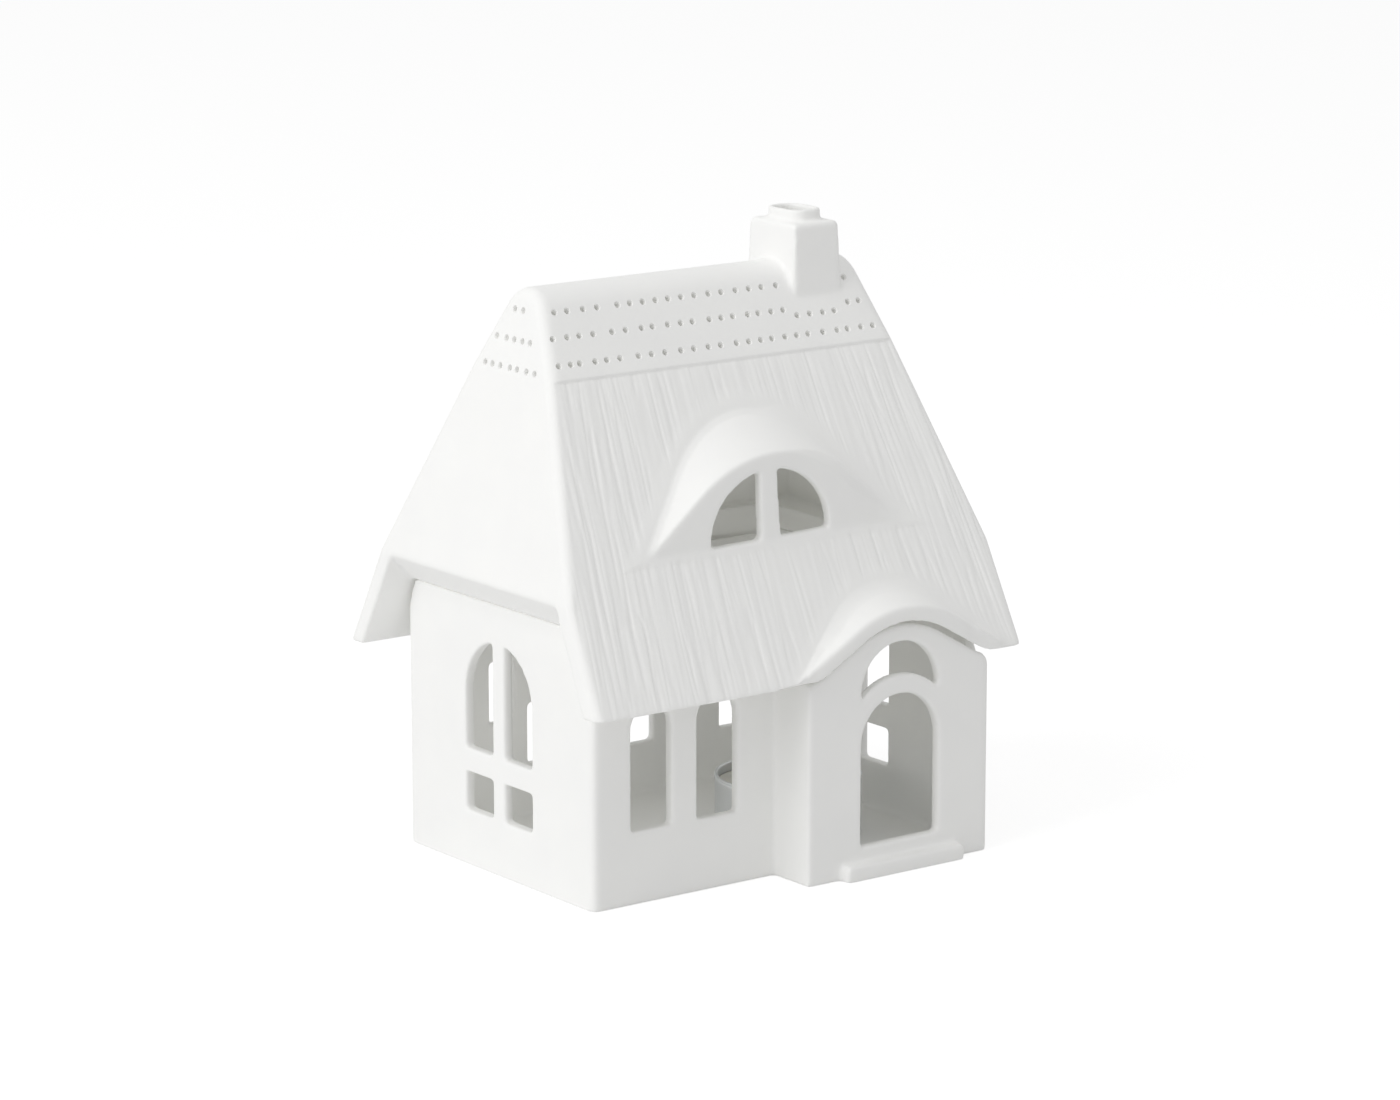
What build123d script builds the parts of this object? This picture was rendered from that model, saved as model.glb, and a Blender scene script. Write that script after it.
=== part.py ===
from build123d import *
import os
from math import acos, atan2, cos, degrees, hypot, radians, sin, tan

# A tealight house: a thatched cottage in bisque porcelain whose roof lifts off over a tealight.
# Millimetres, +Z up, the front towards -Y. The origin is on the base, at the middle of the whole.

# House walls
wall_length = 114.0
wall_depth = 81.2
wall_thickness = 3.0
floor_thickness = 2.0
corner_radius = 2.0
foot_radius = 1.0

# Porch, which stands out at the right of the front, and its step
porch_length = 58.3
porch_projection = 14.0
porch_shoulder_radius = 3.0
step_length = 38.0
step_projection = 3.3
step_height = 4.2
step_radius = 1.2

# Door and the arched light over it
door_width = 24.7
door_sill_height = 7.7
door_crown_height = 45.5
arch_bar = 5.0
transom_crown_height = 58.9

# Front windows, left of the porch
front_window_width = 12.2
front_window_height = 31.6
front_window_sill = 18.5
front_window_pitch = 20.2
front_window_corner = 11.7

# Gable windows, four lights under one arch at each end
gable_window_width = 28.8
gable_window_sill = 14.5
gable_window_crown = 59.8
mullion_width = 5.4
gable_bar_height = 24.5
gable_bar_width = 6.2
right_window_shift = 2.6

# Openings in the rear wall
rear_window_width = 7.6
rear_window_height = 16.2
rear_window_sill = 15.6
rear_window_raised_sill = 28.0
rear_window_raised_x = -33.6
rear_window_x = (-21.7, 40.6)
rear_window_broad_x = 9.1
rear_window_broad_width = 9.5

# Roof
roof_pitch = 63.6
hip_pitch = 76.4
verge_draft = 2.2
eave_height = 52.4
ridge_height = 148.9
ridge_radius = 9.1
band_height = 128.2
hip_lip_height = 77.8
hip_lip_overhang = 8.9
front_overhang = 16.1
rear_overhang = 12.85
roof_corner_radius = 3.0
shell_thickness = 3.0
overhang_thickness = 6.0
seat_drop = 7.9
ledge_rise = 6.1
roof_gap = 1.3
eave_gap = 0.4

# Swept eave over the porch
arch_half_span = 27.1
arch_rise = 11.6
arch_crown_radius = 26.0
arch_flare_radius = 12.5
arch_thickness = 4.2
hood_pitch = 27.5
arch_hood_pitch = 19.0
porch_gap = 0.9

# Eyebrow dormer
dormer_foot_height = 86.2
dormer_half_span = 39.5
dormer_crown_height = 108.2
dormer_crown_radius = 37.0
dormer_blend_radius = 2.0
dormer_window_half_span = 18.3
dormer_window_sill = 87.6
dormer_sill_fall = 1.0
dormer_window_crown = 104.0
dormer_window_offset = -1.9
dormer_mullion_foot_x = (-2.85, 3.25)
dormer_mullion_head_x = (-3.6, 1.8)

# Chimney
chimney_x = 34.5
chimney_width = 16.8
chimney_depth = 21.6
chimney_rise = 9.7
chimney_taper = 2.6
chimney_radius = 1.6
chimney_top_radius = 1.0
collar_width = 10.0
collar_depth = 13.8
collar_height = 3.1
collar_corner_radius = 4.0
flue_width = 7.2
flue_depth = 11.0
flue_corner_radius = 2.6

# Holes pricked through the front of the ridge band, counted along it from the middle, and through
# the hips, counted from the ridge towards the front
prick_diameter = 1.4
prick_sides = 6
band_pricks = (
    (143.6, (-46.0, -42.2, -37.4, -33.2, -27.0, -23.2, -19.3, -15.4, -11.5, -7.5)),
    (143.6, (-3.4, 1.0, 5.0, 9.5, 13.7, 17.7, 22.3, 44.1)),
    (137.8, (-48.9, -44.6, -41.0, -36.8, -31.1, -27.0, -22.1, -18.8, -14.1, -10.1, -6.5)),
    (137.8, (-1.2, 2.5, 6.1, 10.8, 14.1, 18.2, 22.0, 42.8, 46.3)),
    (136.2, (25.8, 29.8, 34.0, 37.7)),
    (131.7, (-49.7, -46.1, -43.4, -38.8, -35.3, -31.3, -25.7, -21.7, -17.6, -12.7, -8.7, -4.2)),
    (131.7, (-0.4, 4.6, 8.4, 12.2, 15.7, 19.9, 23.6, 27.2, 32.0, 36.6, 39.9, 44.3, 48.1)),
)
hip_pricks = (
    (143.4, (-2.8, 0.7)),
    (136.2, (-8.2, -4.0, -0.7, 2.7, 6.0)),
    (129.4, (-11.0, -7.9, -4.5, -0.4, 2.7, 6.7, 10.2)),
)

# Tealight
cup_diameter = 38.0
cup_height = 16.0
cup_wall = 0.4
cup_rim = 0.9
wax_clearance = 0.1
wax_height = 13.2
tab_diameter = 12.0
tab_thickness = 0.3
tab_neck_diameter = 3.2
tab_neck_height = 4.0
wick_diameter = 1.5
wick_height = 21.0
wick_clearance = 0.1
tealight_x = 22.0
tealight_setback = 24.5

# Every cut runs this far past the face that it opens
overrun = 10.0

# Places worked out from the sizes
half_length = wall_length / 2
front_y = (porch_projection + step_projection - wall_depth - rear_overhang) / 2
rear_y = front_y + wall_depth
porch_front_y = front_y - porch_projection
porch_left_x = half_length - porch_length
porch_middle_x = half_length - porch_length / 2
eave_half_depth = (wall_depth + front_overhang + rear_overhang) / 2
ridge_y = rear_y + rear_overhang - eave_half_depth
eave_front_y = ridge_y - eave_half_depth
hip_lip_x = half_length + hip_lip_overhang
seat_height = hip_lip_height - seat_drop
ledge_height = seat_height + ledge_rise
chimney_height = ridge_height + chimney_rise
roof_half_length = hip_lip_x + (hip_lip_height - eave_height) * tan(radians(verge_draft))
dormer_front_y = eave_front_y + (dormer_foot_height - eave_height) / tan(radians(roof_pitch))
front_window_left_x = front_window_corner - half_length
left_window_y = front_y + wall_depth / 2
right_window_y = left_window_y - right_window_shift
hood_direction = Vector(0, cos(radians(hood_pitch)), sin(radians(hood_pitch)))
arch_hood_direction = Vector(0, cos(radians(arch_hood_pitch)), sin(radians(arch_hood_pitch)))
side_plane = Plane(origin=(0, ridge_y, 0), x_dir=(0, 1, 0), z_dir=(1, 0, 0))


def slope_reach(height, inset=0):
    """Half the roof's depth at a height, with its slopes drawn in by inset."""
    pitch = radians(roof_pitch)
    return eave_half_depth - (height - eave_height) / tan(pitch) - inset / sin(pitch)


def slope_height(reach, inset=0):
    """The height at which the slopes, drawn in by inset, are reach from the ridge's plane."""
    pitch = radians(roof_pitch)
    return eave_height + (eave_half_depth - inset / sin(pitch) - reach) * tan(pitch)


def on_front_slope(edge):
    """Whether an edge's middle lies on the roof's front slope."""
    middle = edge.center()
    return abs(slope_height(ridge_y - middle.Y) - middle.Z) < eave_gap / 2


def touch_angle(radius, across, below):
    """Angle from level at which a straight flank, rising from its foot, touches the crown's arc."""
    return degrees(acos(radius / hypot(across, below)) - atan2(below, across))


def crown(middle, foot, half_span, top, radius):
    """An arched line: two straight flanks that run smoothly into a round crown."""
    angle = touch_angle(radius, half_span, top - radius - foot)
    arc = CenterArc((middle, top - radius), radius, angle, 180 - 2 * angle)
    Line((middle + half_span, foot), arc @ 0)
    Line(arc @ 1, (middle - half_span, foot))


def closed_crown(middle, foot, half_span, top, radius):
    """The crown's line closed along its foot."""
    crown(middle, foot, half_span, top, radius)
    Line((middle - half_span, foot), (middle + half_span, foot))


def hip_plane(side, inset=0):
    """The face of a hip, drawn in by inset, with its normal outwards."""
    pitch = radians(hip_pitch)
    plane = Plane(origin=(side * hip_lip_x, 0, hip_lip_height), z_dir=(side * sin(pitch), 0, cos(pitch)))
    return plane.offset(-inset)


def verge_plane(side):
    """The face of the roof's end under the hip, with its normal outwards."""
    draft = radians(verge_draft)
    return Plane(origin=(side * hip_lip_x, 0, hip_lip_height), z_dir=(side * cos(draft), 0, sin(draft)))


def roof_block(inset, base):
    """The roof's solid form with its slopes and hips drawn in by inset, cut level at base."""
    half_block = roof_half_length + overrun
    with BuildPart() as block:
        with BuildSketch(side_plane.offset(-half_block)):
            with BuildLine():
                crown(0, band_height, band_reach, ridge_height, ridge_radius)
                foot_reach = slope_reach(base - inset)
                Polyline(
                    (band_reach, band_height),
                    (foot_reach, base - inset),
                    (-foot_reach, base - inset),
                    (-band_reach, band_height),
                )
            make_face()
            if inset > 0:
                offset(amount=-inset, kind=Kind.INTERSECTION)
        extrude(amount=2 * half_block)
        for side in (-1, 1):
            split(bisect_by=hip_plane(side, inset), keep=Keep.BOTTOM)
    return block.part


def eave_arch(drop, grow):
    """Outline of the swept eave over the porch, lowered by drop, down to the depth of grow under it."""
    foot = eave_height - drop
    flare_reach = arch_half_span + arch_flare_radius
    crown(porch_middle_x, foot, arch_half_span, foot + arch_rise, arch_crown_radius)
    Polyline(
        (porch_middle_x - arch_half_span, foot),
        (porch_middle_x - flare_reach, foot),
        (porch_middle_x - flare_reach, foot - grow),
        (porch_middle_x + flare_reach, foot - grow),
        (porch_middle_x + flare_reach, foot),
        (porch_middle_x + arch_half_span, foot),
    )


def flare_corners(vertices, drop):
    """The two corners where the swept eave runs out into the straight one."""
    foot = eave_height - drop
    at_foot = vertices.filter_by_position(Axis.Y, foot - eave_gap / 2, foot + eave_gap / 2)
    return at_foot.sort_by(Axis.X)[1:-1]


# House: walls, floor, porch and step in one casting
bevel_reach = slope_reach(seat_height, overhang_thickness + roof_gap)
front_wall_top = min(seat_height, slope_height(ridge_y - front_y, overhang_thickness + roof_gap))
rear_wall_top = min(seat_height, slope_height(rear_y - ridge_y, overhang_thickness + roof_gap))
porch_side_top = eave_height - eave_gap
porch_bevel_reach = slope_reach(porch_side_top, overhang_thickness + roof_gap)

with BuildPart() as house:
    with BuildSketch(side_plane.offset(-half_length)):
        with BuildLine():
            Polyline(
                (front_y - ridge_y, 0),
                (front_y - ridge_y, front_wall_top),
                (-bevel_reach, seat_height),
                (bevel_reach, seat_height),
                (rear_y - ridge_y, rear_wall_top),
                (rear_y - ridge_y, 0),
                close=True,
            )
        make_face()
    extrude(amount=wall_length)
    with BuildSketch(side_plane.offset(porch_left_x)):
        with BuildLine():
            Polyline(
                (porch_front_y - ridge_y, 0),
                (porch_front_y - ridge_y, porch_side_top),
                (-porch_bevel_reach, porch_side_top),
                (-bevel_reach, seat_height),
                (0, seat_height),
                (0, 0),
                close=True,
            )
        make_face()
    extrude(amount=porch_length)
    across = house.edges().filter_by(Axis.Y).filter_by_position(Axis.X, porch_middle_x, half_length)
    fillet(across.sort_by(Axis.Y)[0], radius=porch_shoulder_radius)
    upright = house.edges().filter_by(Axis.Z)
    fillet(upright.group_by(Axis.X)[0] + upright.group_by(Axis.X)[-1], radius=corner_radius)
    with BuildSketch(Plane.XZ.offset(-porch_front_y)) as porch_top:
        with BuildLine():
            eave_arch(porch_gap, eave_height / 2)
        make_face()
        fillet(flare_corners(porch_top.vertices(), porch_gap), radius=arch_flare_radius)
        with Locations((porch_middle_x, eave_height)):
            Rectangle(porch_length - 2 * corner_radius, eave_height, mode=Mode.INTERSECT)
    extrude(amount=-wall_thickness)
    with BuildSketch(Plane.XY):
        with Locations((porch_middle_x, porch_front_y)):
            Rectangle(step_length, 2 * step_projection)
    extrude(amount=step_height)
    step_rim = house.edges().filter_by_position(
        Axis.Y, porch_front_y - step_projection - foot_radius, porch_front_y - foot_radius
    )
    fillet(step_rim.filter_by(lambda edge: edge.center().Z > foot_radius), radius=step_radius)
    with BuildSketch(Plane.XY.offset(floor_thickness)):
        with Locations((0, front_y + wall_depth / 2)):
            Rectangle(wall_length - 2 * wall_thickness, wall_depth - 2 * wall_thickness)
        with Locations((porch_middle_x, front_y)):
            Rectangle(porch_length - 2 * wall_thickness, 2 * (porch_projection - wall_thickness))
    extrude(amount=seat_height, mode=Mode.SUBTRACT)
    # door and the light over it, with the arched bar between them
    with BuildSketch(Plane.XZ.offset(overrun - porch_front_y)):
        door_spring = door_crown_height - door_width / 2
        transom_spring = transom_crown_height - door_width / 2
        with Locations((porch_middle_x, transom_spring)):
            Circle(door_width / 2)
        with Locations((porch_middle_x, door_sill_height)):
            Rectangle(door_width, transom_spring - door_sill_height, align=(Align.CENTER, Align.MIN))
        with Locations((porch_middle_x, door_spring)):
            Circle(door_width / 2 + arch_bar, mode=Mode.SUBTRACT)
            Circle(door_width / 2)
        with Locations((porch_middle_x, door_sill_height)):
            Rectangle(door_width, door_spring - door_sill_height, align=(Align.CENTER, Align.MIN))
    extrude(amount=-overrun - wall_thickness, mode=Mode.SUBTRACT)
    # front windows
    with BuildSketch(Plane.XZ.offset(overrun - front_y)):
        for place in range(2):
            middle = front_window_left_x + front_window_width / 2 + place * front_window_pitch
            straight = front_window_height - front_window_width / 2
            with Locations((middle, front_window_sill)):
                Rectangle(front_window_width, straight, align=(Align.CENTER, Align.MIN))
            with Locations((middle, front_window_sill + straight)):
                Circle(front_window_width / 2)
    extrude(amount=-overrun - wall_thickness, mode=Mode.SUBTRACT)
    # gable windows, four lights in each end wall
    gable_windows = (
        (-half_length - overrun, left_window_y),
        (half_length - wall_thickness, right_window_y),
    )
    for start, middle in gable_windows:
        with BuildSketch(Plane.YZ.offset(start)):
            spring = gable_window_crown - gable_window_width / 2
            with Locations((middle, gable_window_sill)):
                Rectangle(gable_window_width, spring - gable_window_sill, align=(Align.CENTER, Align.MIN))
            with Locations((middle, spring)):
                Circle(gable_window_width / 2)
            with Locations((middle, gable_window_sill)):
                Rectangle(mullion_width, wall_depth, align=(Align.CENTER, Align.MIN), mode=Mode.SUBTRACT)
            with Locations((middle, gable_bar_height)):
                Rectangle(wall_depth, gable_bar_width, align=(Align.CENTER, Align.MIN), mode=Mode.SUBTRACT)
        extrude(amount=overrun + wall_thickness, mode=Mode.SUBTRACT)
    # openings in the rear wall
    with BuildSketch(Plane.XZ.offset(-rear_y - overrun)):
        for left in rear_window_x:
            with Locations((left, rear_window_sill)):
                Rectangle(rear_window_width, rear_window_height, align=(Align.MIN, Align.MIN))
        with Locations((rear_window_broad_x, rear_window_sill)):
            Rectangle(rear_window_broad_width, rear_window_height, align=(Align.MIN, Align.MIN))
        with Locations((rear_window_raised_x, rear_window_raised_sill)):
            Rectangle(rear_window_width, rear_window_height, align=(Align.MIN, Align.MIN))
    extrude(amount=overrun + wall_thickness, mode=Mode.SUBTRACT)

# Roof: hollow shell with thicker overhangs, dormer, swept eave and chimney
band_reach = slope_reach(band_height)
outer_block = roof_block(0, eave_height)
cavity_block = roof_block(shell_thickness, ledge_height)
swept_angle = touch_angle(arch_crown_radius, arch_half_span, arch_rise - arch_crown_radius)
hood_half_span = arch_half_span + arch_thickness / cos(radians(swept_angle))
dormer_angle = touch_angle(
    dormer_crown_radius, dormer_half_span, dormer_crown_height - dormer_crown_radius - dormer_foot_height
)
dormer_hollow_half_span = dormer_half_span - shell_thickness / cos(radians(dormer_angle))
soffit_slope = (hip_lip_height - seat_height) / hip_lip_overhang
soffit_end_x = hip_lip_x + overrun
soffit_end_height = hip_lip_height + overrun * soffit_slope

# Room under the overhangs: between the thick eaves, below the ledge and the gables' soffits
with BuildPart() as under_roof:
    with BuildSketch(side_plane.offset(-soffit_end_x)):
        top_reach = slope_reach(soffit_end_height, overhang_thickness)
        foot_reach = slope_reach(eave_height - overrun, overhang_thickness)
        with BuildLine():
            Polyline(
                (-foot_reach, eave_height - overrun),
                (-top_reach, soffit_end_height),
                (top_reach, soffit_end_height),
                (foot_reach, eave_height - overrun),
                close=True,
            )
        make_face()
    extrude(amount=2 * soffit_end_x)
    with BuildSketch(Plane.XZ.offset(-ridge_y - eave_half_depth)):
        inner_x = half_length - wall_thickness
        with BuildLine():
            Polyline(
                (-soffit_end_x, eave_height - overrun),
                (-soffit_end_x, soffit_end_height),
                (-half_length, seat_height),
                (-inner_x, seat_height),
                (-inner_x, ledge_height),
                (inner_x, ledge_height),
                (inner_x, seat_height),
                (half_length, seat_height),
                (soffit_end_x, soffit_end_height),
                (soffit_end_x, eave_height - overrun),
                close=True,
            )
        make_face()
    extrude(amount=2 * eave_half_depth, mode=Mode.INTERSECT)

# Pricked holes, the right hip's as the left's
band_lean = radians(touch_angle(ridge_radius, band_reach, ridge_height - ridge_radius - band_height))
band_plane = Plane(
    origin=(0, ridge_y - band_reach, band_height),
    x_dir=(1, 0, 0),
    z_dir=(0, -cos(band_lean), sin(band_lean)),
)
left_hip_plane = Plane(
    origin=(-hip_lip_x, ridge_y, hip_lip_height), x_dir=(0, -1, 0), z_dir=hip_plane(-1).z_dir
)

with BuildPart() as band_holes:
    with BuildSketch(band_plane.offset(prick_diameter)):
        for height, places in band_pricks:
            climb = (height - band_height) / cos(band_lean)
            with Locations(*[(place, climb) for place in places]):
                RegularPolygon(prick_diameter / 2, prick_sides)
    extrude(amount=-shell_thickness - 2 * prick_diameter)

with BuildPart() as hip_holes:
    with BuildSketch(left_hip_plane.offset(prick_diameter)):
        for height, places in hip_pricks:
            climb = (height - hip_lip_height) / sin(radians(hip_pitch))
            with Locations(*[(place, climb) for place in places]):
                RegularPolygon(prick_diameter / 2, prick_sides)
    extrude(amount=-shell_thickness - 2 * prick_diameter)
    mirror(about=side_plane)

with BuildPart() as roof:
    add(outer_block)
    for side in (-1, 1):
        split(bisect_by=verge_plane(side), keep=Keep.BOTTOM)
    raking = roof.edges().filter_by(lambda edge: abs(edge.center().X) > half_length / 2)
    raking = raking.filter_by(lambda edge: edge.bounding_box().size.Z > roof_corner_radius)
    fillet(raking.filter_by(GeomType.LINE), radius=roof_corner_radius)
    # swept eave and dormer, both run back into the slope
    with BuildSketch(Plane.XZ.offset(-eave_front_y)):
        with BuildLine():
            closed_crown(
                porch_middle_x,
                eave_height,
                hood_half_span,
                eave_height + arch_rise + arch_thickness,
                arch_crown_radius + arch_thickness,
            )
        make_face()
    extrude(amount=eave_half_depth / 2, dir=arch_hood_direction)
    with BuildSketch(Plane.XZ.offset(-dormer_front_y)):
        with BuildLine():
            closed_crown(
                0, dormer_foot_height, dormer_half_span, dormer_crown_height, dormer_crown_radius
            )
        make_face()
    extrude(amount=eave_half_depth / 2, dir=hood_direction)
    dormer_seam = roof.edges().filter_by(on_front_slope)
    dormer_seam = dormer_seam.filter_by_position(Axis.X, -dormer_half_span, dormer_half_span)
    dormer_seam = dormer_seam.filter_by_position(Axis.Z, dormer_foot_height, band_height, (False, False))
    fillet(dormer_seam, radius=dormer_blend_radius)
    # chimney
    with BuildSketch(Plane.XY.offset(band_height)):
        with Locations((chimney_x, ridge_y)):
            RectangleRounded(chimney_width, chimney_depth, chimney_radius)
    extrude(amount=chimney_height - band_height, taper=chimney_taper)
    fillet(roof.faces().sort_by(Axis.Z)[-1].edges(), radius=chimney_top_radius)
    with BuildSketch(Plane.XY.offset(chimney_height)):
        with Locations((chimney_x, ridge_y)):
            RectangleRounded(collar_width, collar_depth, collar_corner_radius)
    extrude(amount=collar_height)
    # hollows
    add(cavity_block, mode=Mode.SUBTRACT)
    add(under_roof.part, mode=Mode.SUBTRACT)
    with BuildSketch(Plane.XZ.offset(-eave_front_y + overrun)) as tunnel:
        with BuildLine():
            eave_arch(0, overrun)
        make_face()
        fillet(flare_corners(tunnel.vertices(), 0), radius=arch_flare_radius)
    extrude(amount=-overrun, mode=Mode.SUBTRACT)
    with BuildSketch(Plane.XZ.offset(-eave_front_y)) as tunnel:
        with BuildLine():
            eave_arch(0, overrun)
        make_face()
        fillet(flare_corners(tunnel.vertices(), 0), radius=arch_flare_radius)
    extrude(amount=eave_half_depth / 2, dir=arch_hood_direction, mode=Mode.SUBTRACT)
    with BuildSketch(Plane.XZ.offset(-dormer_front_y - wall_thickness)):
        with BuildLine():
            closed_crown(
                0,
                dormer_foot_height,
                dormer_hollow_half_span,
                dormer_crown_height - shell_thickness,
                dormer_crown_radius - shell_thickness,
            )
        make_face()
    extrude(amount=eave_half_depth / 2, dir=hood_direction, mode=Mode.SUBTRACT)
    # dormer window
    with BuildSketch(Plane.XZ.offset(overrun - dormer_front_y)):
        with Locations((dormer_window_offset, dormer_window_sill)):
            Ellipse(dormer_window_half_span, dormer_window_crown - dormer_window_sill)
            Polygon(
                (-2 * dormer_window_half_span, -2 * dormer_sill_fall),
                (2 * dormer_window_half_span, 0),
                (2 * dormer_window_half_span, -dormer_window_crown),
                (-2 * dormer_window_half_span, -dormer_window_crown),
                align=None,
                mode=Mode.SUBTRACT,
            )
            Polygon(
                (dormer_mullion_foot_x[0], -2 * dormer_sill_fall),
                (dormer_mullion_foot_x[1], -2 * dormer_sill_fall),
                (dormer_mullion_head_x[1], dormer_window_crown - dormer_window_sill),
                (dormer_mullion_head_x[0], dormer_window_crown - dormer_window_sill),
                align=None,
                mode=Mode.SUBTRACT,
            )
    extrude(amount=-overrun - 2 * wall_thickness, mode=Mode.SUBTRACT)
    # flue
    with BuildSketch(Plane.XY.offset(chimney_height + collar_height + overrun)):
        with Locations((chimney_x, ridge_y)):
            RectangleRounded(flue_width, flue_depth, flue_corner_radius)
    extrude(amount=band_height - chimney_height - collar_height - overrun, mode=Mode.SUBTRACT)
    add(band_holes.part, mode=Mode.SUBTRACT)
    add(hip_holes.part, mode=Mode.SUBTRACT)

house.part.label = "house"
roof.part.label = "roof"

# Tealight, standing on the floor
tealight_plane = Plane(origin=(tealight_x, front_y + tealight_setback, floor_thickness))
tealight_section = Plane(origin=tealight_plane.origin, x_dir=(1, 0, 0), z_dir=(0, -1, 0))
tealight_axis = Axis(tealight_plane.origin, (0, 0, 1))
cup_radius = cup_diameter / 2
wax_radius = cup_radius - cup_wall - wax_clearance
neck_radius = tab_neck_diameter / 2
wick_radius = wick_diameter / 2
wick_foot = tab_thickness + wax_clearance

with BuildPart() as cup:
    with BuildSketch(tealight_section):
        with BuildLine():
            Polyline(
                (0, 0),
                (cup_radius, 0),
                (cup_radius, cup_height),
                (cup_radius - cup_rim, cup_height),
                (cup_radius - cup_rim, cup_height - cup_wall),
                (cup_radius - cup_wall, cup_height - cup_wall),
                (cup_radius - cup_wall, cup_wall),
                (0, cup_wall),
                close=True,
            )
        make_face()
    revolve(axis=tealight_axis)
    chamfer(cup.faces().sort_by(Axis.Z)[0].edges(), length=cup_wall)

with BuildPart() as wick_tab:
    with BuildSketch(tealight_plane.offset(cup_wall)):
        Circle(tab_diameter / 2)
    extrude(amount=tab_thickness)
    with BuildSketch(tealight_plane.offset(cup_wall)):
        Circle(neck_radius)
    extrude(amount=tab_neck_height)
    with BuildSketch(tealight_plane.offset(cup_wall + tab_thickness)):
        Circle(wick_radius + wick_clearance)
    extrude(amount=tab_neck_height, mode=Mode.SUBTRACT)

with BuildPart() as wax:
    with BuildSketch(tealight_plane.offset(cup_wall + wax_clearance)):
        Circle(wax_radius)
    extrude(amount=wax_height - cup_wall - wax_clearance)
    with BuildSketch(tealight_plane):
        Circle(tab_diameter / 2 + wax_clearance)
    extrude(amount=cup_wall + tab_thickness + wax_clearance, mode=Mode.SUBTRACT)
    with BuildSketch(tealight_plane):
        Circle(neck_radius + wax_clearance)
    extrude(amount=cup_wall + tab_neck_height + wax_clearance, mode=Mode.SUBTRACT)
    with BuildSketch(tealight_plane):
        Circle(wick_radius + wick_clearance)
    extrude(amount=wick_height, mode=Mode.SUBTRACT)

with BuildPart() as wick:
    with BuildSketch(tealight_plane.offset(cup_wall + tab_thickness)):
        Circle(wick_radius)
    extrude(amount=wick_height - cup_wall - tab_thickness)

cup.part.label = "tealight_cup"
wick_tab.part.label = "wick_tab"
wax.part.label = "wax"
wick.part.label = "wick"

os.makedirs("parts", exist_ok=True)
export_step(house.part, "parts/house.step")
export_step(roof.part, "parts/roof.step")
export_step(cup.part, "parts/tealight_cup.step")
export_step(wick_tab.part, "parts/wick_tab.step")
export_step(wax.part, "parts/wax.step")
export_step(wick.part, "parts/wick.step")
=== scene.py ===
import math
import random
import bmesh
import bpy
import numpy as np
from bpy.props import FloatProperty, FloatVectorProperty, IntProperty, PointerProperty, StringProperty
from bpy.types import Operator, Panel, PropertyGroup
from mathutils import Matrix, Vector


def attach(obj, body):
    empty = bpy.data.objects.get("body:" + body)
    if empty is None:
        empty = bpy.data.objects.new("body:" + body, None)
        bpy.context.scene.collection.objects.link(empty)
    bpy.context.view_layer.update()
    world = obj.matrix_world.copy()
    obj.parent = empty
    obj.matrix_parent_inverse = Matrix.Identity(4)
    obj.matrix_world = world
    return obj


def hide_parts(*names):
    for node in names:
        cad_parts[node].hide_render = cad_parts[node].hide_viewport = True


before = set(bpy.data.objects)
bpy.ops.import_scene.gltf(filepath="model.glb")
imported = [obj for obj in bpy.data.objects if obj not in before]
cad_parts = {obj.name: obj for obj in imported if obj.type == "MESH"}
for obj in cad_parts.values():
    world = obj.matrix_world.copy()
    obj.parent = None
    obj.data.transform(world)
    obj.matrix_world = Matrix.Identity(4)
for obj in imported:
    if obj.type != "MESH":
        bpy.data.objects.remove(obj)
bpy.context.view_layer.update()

bl_info = {
    "name": "Tealight House",
    "version": (1, 0, 0),
    "blender": (4, 5, 0),
    "location": "View3D > Sidebar > Tealight House",
    "description": "Dresses a porcelain tealight cottage, its lift-off roof and its tealight",
    "category": "Object",
}

MM = 0.001

# The construction's own sizes, in millimetres, which the surface detail follows
ROOF_PITCH = math.radians(63.6)
EAVE_HEIGHT = 52.4
EAVE_FRONT_Y = -54.475
RIDGE_Y = 0.6
BAND_HEIGHT = 128.2
BAND_REACH = 17.45
BAND_LEAN = math.radians(30.65)
HIP_PITCH = math.radians(76.4)
HIP_LIP_X = 65.9
HIP_LIP_HEIGHT = 77.8
VERGE_DRAFT = math.radians(2.2)
# Each hood: its middle, the foot, half span, crown and crown radius of its face, the face's depth
# and the pitch at which the hood runs back
ARCH_HOOD = (27.85, EAVE_HEIGHT, 31.93, 68.2, 30.2, EAVE_FRONT_Y, math.radians(19.0))
DORMER_HOOD = (0.0, 86.2, 39.5, 108.2, 37.0, -37.70, math.radians(27.5))
# Heights of the rows of pricked holes with the holes' places, counted from the middle of the band
# and, on the hips, from the ridge towards the front
BAND_PRICKS = (
    (143.6, (-46.0, -42.2, -37.4, -33.2, -27.0, -23.2, -19.3, -15.4, -11.5, -7.5)),
    (143.6, (-3.4, 1.0, 5.0, 9.5, 13.7, 17.7, 22.3, 44.1)),
    (137.8, (-48.9, -44.6, -41.0, -36.8, -31.1, -27.0, -22.1, -18.8, -14.1, -10.1, -6.5)),
    (137.8, (-1.2, 2.5, 6.1, 10.8, 14.1, 18.2, 22.0, 42.8, 46.3)),
    (136.2, (25.8, 29.8, 34.0, 37.7)),
    (131.7, (-49.7, -46.1, -43.4, -38.8, -35.3, -31.3, -25.7, -21.7, -17.6, -12.7, -8.7, -4.2)),
    (131.7, (-0.4, 4.6, 8.4, 12.2, 15.7, 19.9, 23.6, 27.2, 32.0, 36.6, 39.9, 44.3, 48.1)),
)
HIP_PRICKS = (
    (143.4, (-2.8, 0.7)),
    (136.2, (-8.2, -4.0, -0.7, 2.7, 6.0)),
    (129.4, (-11.0, -7.9, -4.5, -0.4, 2.7, 6.7, 10.2)),
)
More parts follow.
